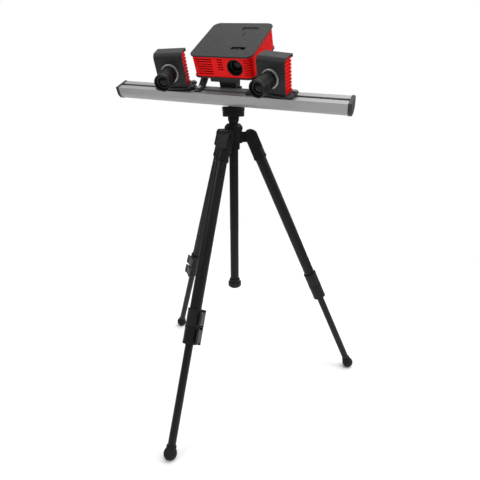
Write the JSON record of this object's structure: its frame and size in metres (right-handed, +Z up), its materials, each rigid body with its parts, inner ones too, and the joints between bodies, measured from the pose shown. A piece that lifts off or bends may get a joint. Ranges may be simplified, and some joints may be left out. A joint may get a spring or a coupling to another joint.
{
  "type": "structured light scanner on tripod",
  "caption": "Structured light 3D scanner: projector and toed-in cameras on an aluminium rail, on a ball head and folding telescopic tripod.",
  "frame": {"origin": "on the floor, under the axis of the centre column", "axes": "+Z up along the column, +X along the rail to the right of somebody facing the scanner, -Y where the scanner looks"},
  "size_m": [0.6354, 0.5545, 0.9639],
  "materials": {
    "black_casting": "satin black die casting",
    "black_moulding": "glass-filled nylon",
    "black_tube": "anodised black tube",
    "lever_plastic": "smooth nylon",
    "foot_rubber": "matt",
    "bright_steel": "turned",
    "blackened_steel": "blackened",
    "satin_aluminium": "satin anodised",
    "cap_plastic": "fine texture",
    "bracket_coat": "black powder coat",
    "graphite_coat": "fine powder coat",
    "red_plastic": "semi-gloss moulding",
    "lens_black": "satin anodised black",
    "lens_grip": "knurled, anodised black",
    "machined_aluminium": "turned",
    "fan_plastic": "moulded",
    "circuit_board": "solder mask",
    "button_plastic": "soft touch"
  },
  "bodies": {
    "tripod": {"spider": "black_casting", "leg_pins": "blackened_steel"},
    "column": {"column": "black_tube", "column_end_cap": "black_moulding"},
    "lock_collar": {"column_lock_collar": "black_casting"},
    "front_leg": {"front_shoulder": "black_casting", "front_upper_tube": "black_tube", "front_upper_clamp": "black_moulding"},
    "front_middle": {"front_middle_section": "black_tube"},
    "front_lower": {"front_lower_tube": "black_tube", "front_foot": "foot_rubber"},
    "front_upper_lever": {"front_upper_lever": "lever_plastic"},
    "front_lower_lever": {"front_lower_lever": "lever_plastic"},
    "right_leg": {"right_shoulder": "black_casting", "right_upper_tube": "black_tube", "right_upper_clamp": "black_moulding"},
    "right_middle": {"right_middle_section": "black_tube"},
    "right_lower": {"right_lower_tube": "black_tube", "right_foot": "foot_rubber"},
    "right_upper_lever": {"right_upper_lever": "lever_plastic"},
    "right_lower_lever": {"right_lower_lever": "lever_plastic"},
    "left_leg": {"left_shoulder": "black_casting", "left_upper_tube": "black_tube", "left_upper_clamp": "black_moulding"},
    "left_middle": {"left_middle_section": "black_tube"},
    "left_lower": {"left_lower_tube": "black_tube", "left_foot": "foot_rubber"},
    "left_upper_lever": {"left_upper_lever": "lever_plastic"},
    "left_lower_lever": {"left_lower_lever": "lever_plastic"},
    "ball_base": {"ball_housing": "black_casting"},
    "ball_knob": {"ball_lock_knob": "black_moulding"},
    "head": {"ball_platform": "black_casting", "projector_bracket": "bracket_coat", "rail": "satin_aluminium", "rail_end_caps": "cap_plastic", "rail_screws": "bright_steel", "projector_base": "bracket_coat", "projector_shell": "red_plastic", "projector_cover": "graphite_coat", "projector_lens": "lens_black", "projector_light_engine": "machined_aluminium", "projector_board": "circuit_board"},
    "left_slider": {"left_carriage": "bracket_coat"},
    "left_unit": {"left_unit_bracket": "graphite_coat", "left_unit_housing": "red_plastic", "left_camera": "machined_aluminium", "left_lens_barrel": "lens_black"},
    "left_focus": {"left_focus_ring": "lens_grip"},
    "left_iris": {"left_iris_ring": "lens_grip"},
    "right_slider": {"right_carriage": "bracket_coat"},
    "right_unit": {"right_unit_bracket": "graphite_coat", "right_unit_housing": "red_plastic", "right_camera": "machined_aluminium", "right_lens_barrel": "lens_black"},
    "right_focus": {"right_focus_ring": "lens_grip"},
    "right_iris": {"right_iris_ring": "lens_grip"},
    "projector_focus": {"projector_focus_ring": "lens_grip"},
    "button": {"power_button": "button_plastic"},
    "fan": {"projector_fan": "fan_plastic"}
  },
  "joints": [
    {"name": "front_leg_fold", "type": "hinge", "parent": "tripod", "child": "front_leg", "pos_m": [0, -0.0435, 0.7], "axis": [-1, 0, 0], "range_deg": [-24.01, 0]},
    {"name": "front_middle_slide", "type": "slide", "parent": "front_leg", "child": "front_middle", "axis": [0, -0.4069, -0.9135], "range_m": [0, 0.3]},
    {"name": "front_lower_slide", "type": "slide", "parent": "front_middle", "child": "front_lower", "axis": [0, -0.4069, -0.9135], "range_m": [-0.222, 0.05]},
    {"name": "front_upper_lever_flip", "type": "hinge", "parent": "front_leg", "child": "front_upper_lever", "pos_m": [0.0197, -0.2135, 0.29624], "axis": [0, 0.4069, 0.9135], "range_deg": [0, 110]},
    {"name": "front_lower_lever_flip", "type": "hinge", "parent": "front_middle", "child": "front_lower_lever", "pos_m": [0.0197, -0.23018, 0.25878], "axis": [0, 0.4069, 0.9135], "range_deg": [0, 110]},
    {"name": "right_leg_fold", "type": "hinge", "parent": "tripod", "child": "right_leg", "pos_m": [0.03767, 0.02175, 0.7], "axis": [0.5, -0.866, 0], "range_deg": [-24.01, 0]},
    {"name": "right_middle_slide", "type": "slide", "parent": "right_leg", "child": "right_middle", "axis": [0.3524, 0.2034, -0.9135], "range_m": [0, 0.3]},
    {"name": "right_lower_slide", "type": "slide", "parent": "right_middle", "child": "right_lower", "axis": [0.3524, 0.2034, -0.9135], "range_m": [-0.222, 0.05]},
    {"name": "right_upper_lever_flip", "type": "hinge", "parent": "right_leg", "child": "right_upper_lever", "pos_m": [0.17504, 0.12381, 0.29624], "axis": [-0.3524, -0.2034, 0.9135], "range_deg": [0, 110]},
    {"name": "right_lower_lever_flip", "type": "hinge", "parent": "right_middle", "child": "right_lower_lever", "pos_m": [0.18949, 0.13215, 0.25878], "axis": [-0.3524, -0.2034, 0.9135], "range_deg": [0, 110]},
    {"name": "left_leg_fold", "type": "hinge", "parent": "tripod", "child": "left_leg", "pos_m": [-0.03767, 0.02175, 0.7], "axis": [0.5, 0.866, 0], "range_deg": [-24.01, 0]},
    {"name": "left_middle_slide", "type": "slide", "parent": "left_leg", "child": "left_middle", "axis": [-0.3524, 0.2034, -0.9135], "range_m": [0, 0.3]},
    {"name": "left_lower_slide", "type": "slide", "parent": "left_middle", "child": "left_lower", "axis": [-0.3524, 0.2034, -0.9135], "range_m": [-0.222, 0.05]},
    {"name": "left_upper_lever_flip", "type": "hinge", "parent": "left_leg", "child": "left_upper_lever", "pos_m": [-0.19474, 0.08969, 0.29624], "axis": [0.3524, -0.2034, 0.9135], "range_deg": [0, 110]},
    {"name": "left_lower_lever_flip", "type": "hinge", "parent": "left_middle", "child": "left_lower_lever", "pos_m": [-0.20919, 0.09803, 0.25878], "axis": [0.3524, -0.2034, 0.9135], "range_deg": [0, 110]},
    {"name": "column_slide", "type": "slide", "parent": "tripod", "child": "column", "axis": [0, 0, 1], "range_m": [0, 0.3]},
    {"name": "column_lock_turn", "type": "hinge", "parent": "tripod", "child": "lock_collar", "pos_m": [0, 0, 0.7195], "axis": [0, 0, 1], "range_deg": [0, 90]},
    {"name": "pan", "type": "hinge", "parent": "column", "child": "ball_base", "pos_m": [0, 0, 0.75], "axis": [0, 0, 1], "continuous": true},
    {"name": "ball_tilt", "type": "hinge", "parent": "ball_base", "child": "head", "pos_m": [0, 0, 0.762], "axis": [1, 0, 0], "range_deg": [-50, 3]},
    {"name": "ball_knob_turn", "type": "hinge", "parent": "ball_base", "child": "ball_knob", "pos_m": [-0.01479, 0.03172, 0.7525], "axis": [-0.4226, 0.9063, 0], "range_deg": [0, 180]},
    {"name": "left_unit_slide", "type": "slide", "parent": "head", "child": "left_slider", "axis": [-0.9966, -0.0353, 0.074], "range_m": [0, 0.095]},
    {"name": "left_unit_turn", "type": "hinge", "parent": "left_slider", "child": "left_unit", "pos_m": [-0.1295, -0.05249, 0.81724], "axis": [0.0819, -0.4291, 0.8996], "range_deg": [-11, 11]},
    {"name": "left_focus_turn", "type": "hinge", "parent": "left_unit", "child": "left_focus", "pos_m": [-0.11773, -0.11351, 0.82819], "axis": [0.1902, -0.8793, -0.4367], "range_deg": [-90, 90]},
    {"name": "left_iris_turn", "type": "hinge", "parent": "left_unit", "child": "left_iris", "pos_m": [-0.12096, -0.09856, 0.83562], "axis": [0.1902, -0.8793, -0.4367], "range_deg": [-40, 40]},
    {"name": "right_unit_slide", "type": "slide", "parent": "head", "child": "right_slider", "axis": [0.9966, 0.0353, -0.074], "range_m": [0, 0.095]},
    {"name": "right_unit_turn", "type": "hinge", "parent": "right_slider", "child": "right_unit", "pos_m": [0.12365, -0.04353, 0.79845], "axis": [0.0819, -0.4291, 0.8996], "range_deg": [-11, 11]},
    {"name": "right_focus_turn", "type": "hinge", "parent": "right_unit", "child": "right_focus", "pos_m": [0.11598, -0.10489, 0.81102], "axis": [-0.1902, -0.8927, -0.4085], "range_deg": [-90, 90]},
    {"name": "right_iris_turn", "type": "hinge", "parent": "right_unit", "child": "right_iris", "pos_m": [0.11922, -0.08971, 0.81796], "axis": [-0.1902, -0.8927, -0.4085], "range_deg": [-40, 40]},
    {"name": "projector_focus_turn", "type": "hinge", "parent": "head", "child": "projector_focus", "pos_m": [0.03722, -0.03631, 0.8704], "axis": [-0.0107, -0.8389, -0.5442], "range_deg": [-20, 20]},
    {"name": "power_button_press", "type": "slide", "parent": "head", "child": "button", "axis": [0.0812, -0.5432, 0.8357], "range_m": [-0.0008, 0], "stiffness_N_per_m": 600, "springref_m": 0.0004},
    {"name": "fan_spin", "type": "hinge", "parent": "head", "child": "fan", "pos_m": [0.0381, 0.04615, 0.92151], "axis": [0.0107, 0.8389, 0.5442], "continuous": true}
  ]
}
